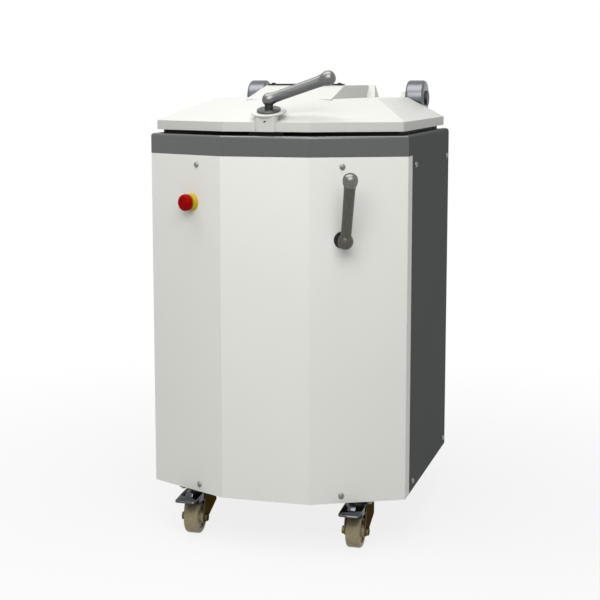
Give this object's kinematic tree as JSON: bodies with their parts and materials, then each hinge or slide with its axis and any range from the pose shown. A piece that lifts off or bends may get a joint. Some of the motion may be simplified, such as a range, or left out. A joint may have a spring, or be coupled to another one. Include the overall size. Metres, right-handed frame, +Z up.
{
  "type": "dough divider",
  "caption": "Floor-standing hydraulic dough divider: faceted cabinet on casters, hinged press lid with ball lever, dough tank with rising press plate and knife grid.",
  "frame": {"origin": "on the floor under the middle of the whole outline", "axes": "+X to the right of someone in front, +Y towards the rear, +Z up"},
  "size_m": [0.648, 0.7982, 1.1388],
  "materials": {
    "white_panel": "semi-gloss white powder coat",
    "white_lid": "semi-gloss white coat on cast aluminium",
    "grey_panel": "semi-gloss dark grey powder coat",
    "grey_tower": "semi-gloss grey paint on castings",
    "black_frame": "matt black paint",
    "stainless": "ground stainless steel",
    "steel": "turned bright steel",
    "zinc": "zinc-plated steel",
    "lever_metal": "satin grey cast metal",
    "dark_metal": "dark oxidised steel",
    "nylon_block": "food-grade white plastic",
    "bronze": "sintered bronze",
    "black_plastic": "moulded black plastic",
    "seal_rubber": "black sponge rubber",
    "yellow_plastic": "moulded yellow plastic",
    "red_plastic": "moulded red plastic",
    "cylinder_paint": "dark grey enamel",
    "cast_aluminium": "plain aluminium",
    "pipe_steel": "zinc-plated pipe",
    "box_plastic": "grey moulded plastic",
    "fork_zinc": "yellow-passivated zinc plate",
    "pedal_chrome": "bright zinc or nickel plate",
    "wheel_nylon": "cream nylon"
  },
  "bodies": {
    "cabinet": {"base_tray": "black_frame", "frame_posts": "black_frame", "front_panel": "white_panel", "side_panel_left": "grey_panel", "side_panel_right": "grey_panel", "rear_panel": "grey_panel", "top_band": "grey_panel", "top_deck": "black_frame", "dough_tank": "stainless", "tank_seal": "seal_rubber", "panel_screws": "zinc", "hex_bolts": "zinc", "guide_posts": "steel", "press_cylinder": "cylinder_paint", "knife_cylinders": "cylinder_paint", "oil_tank": "cast_aluminium", "motor": "cylinder_paint", "valve_bracket": "black_frame", "control_valve": "cast_aluminium", "hydraulic_pipes": "pipe_steel", "electrical_box": "box_plastic", "cable_gland": "black_plastic", "hinge_towers": "grey_tower", "hinge_bushes": "bronze", "hinge_caps": "black_plastic", "latch_keeper": "dark_metal", "lever_bush": "black_plastic", "stop_collar": "yellow_plastic", "stop_contacts": "black_plastic", "caster_plates": "zinc"},
    "lid": {"lid_casting": "white_lid", "lid_lining": "stainless", "lid_strip": "dark_metal", "lid_arms": "white_lid", "hinge_shaft": "steel", "latch_housing": "white_lid", "latch_disc": "steel"},
    "lid_handle": {"lid_lever": "lever_metal", "latch_spindle": "dark_metal"},
    "control": {"control_lever": "lever_metal", "control_spindle": "steel"},
    "stop_button": {"stop_head": "red_plastic"},
    "press": {"press_blocks": "nylon_block", "press_columns": "steel", "press_carrier": "black_frame", "press_ram": "steel"},
    "knives": {"knife_blades": "stainless", "knife_ring": "black_frame", "knife_rams": "steel"},
    "fork_front_left": {"caster_fork_front_left": "fork_zinc"},
    "wheel_front_left": {"caster_wheel_front_left": "wheel_nylon"},
    "pedal_front_left": {"brake_pedal_front_left": "pedal_chrome"},
    "fork_front_right": {"caster_fork_front_right": "fork_zinc"},
    "wheel_front_right": {"caster_wheel_front_right": "wheel_nylon"},
    "pedal_front_right": {"brake_pedal_front_right": "pedal_chrome"},
    "fork_rear_left": {"caster_fork_rear_left": "fork_zinc"},
    "wheel_rear_left": {"caster_wheel_rear_left": "wheel_nylon"},
    "fork_rear_right": {"caster_fork_rear_right": "fork_zinc"},
    "wheel_rear_right": {"caster_wheel_rear_right": "wheel_nylon"}
  },
  "joints": [
    {"name": "lid_hinge", "type": "hinge", "parent": "cabinet", "child": "lid", "pos_m": [0, 0.3511, 1.068], "axis": [-1, 0, 0], "range_deg": [0, 80]},
    {"name": "lid_lever_turn", "type": "hinge", "parent": "lid", "child": "lid_handle", "pos_m": [0, -0.3009, 1.072], "axis": [0, 0, -1], "range_deg": [0, 90]},
    {"name": "control_lever_turn", "type": "hinge", "parent": "cabinet", "child": "control", "pos_m": [0.1786, -0.30627, 0.749], "axis": [0.4404, -0.8978, 0], "range_deg": [-40, 40], "stiffness_Nm_per_rad": 3},
    {"name": "stop_press", "type": "slide", "parent": "cabinet", "child": "stop_button", "axis": [0.4404, 0.8978, 0], "range_m": [0, 0.004], "stiffness_N_per_m": 1500},
    {"name": "press_lift", "type": "slide", "parent": "cabinet", "child": "press", "axis": [0, 0, 1], "range_m": [0, 0.118]},
    {"name": "knife_lift", "type": "slide", "parent": "cabinet", "child": "knives", "axis": [0, 0, 1], "range_m": [0, 0.118]},
    {"name": "swivel_front_left", "type": "hinge", "parent": "cabinet", "child": "fork_front_left", "pos_m": [-0.205, -0.2289, 0.1057], "axis": [0, 0, 1], "continuous": true},
    {"name": "roll_front_left", "type": "hinge", "parent": "fork_front_left", "child": "wheel_front_left", "pos_m": [-0.205, -0.2659, 0.04], "axis": [1, 0, 0], "continuous": true},
    {"name": "brake_front_left", "type": "hinge", "parent": "fork_front_left", "child": "pedal_front_left", "pos_m": [-0.205, -0.2389, 0.0917], "axis": [1, 0, 0], "range_deg": [0, 8]},
    {"name": "swivel_front_right", "type": "hinge", "parent": "cabinet", "child": "fork_front_right", "pos_m": [0.205, -0.2289, 0.1057], "axis": [0, 0, 1], "continuous": true},
    {"name": "roll_front_right", "type": "hinge", "parent": "fork_front_right", "child": "wheel_front_right", "pos_m": [0.205, -0.2659, 0.04], "axis": [1, 0, 0], "continuous": true},
    {"name": "brake_front_right", "type": "hinge", "parent": "fork_front_right", "child": "pedal_front_right", "pos_m": [0.205, -0.2389, 0.0917], "axis": [1, 0, 0], "range_deg": [0, 8]},
    {"name": "swivel_rear_left", "type": "hinge", "parent": "cabinet", "child": "fork_rear_left", "pos_m": [-0.205, 0.2191, 0.1057], "axis": [0, 0, 1], "continuous": true},
    {"name": "roll_rear_left", "type": "hinge", "parent": "fork_rear_left", "child": "wheel_rear_left", "pos_m": [-0.205, 0.1821, 0.04], "axis": [1, 0, 0], "continuous": true},
    {"name": "swivel_rear_right", "type": "hinge", "parent": "cabinet", "child": "fork_rear_right", "pos_m": [0.205, 0.2191, 0.1057], "axis": [0, 0, 1], "continuous": true},
    {"name": "roll_rear_right", "type": "hinge", "parent": "fork_rear_right", "child": "wheel_rear_right", "pos_m": [0.205, 0.1821, 0.04], "axis": [1, 0, 0], "continuous": true}
  ]
}
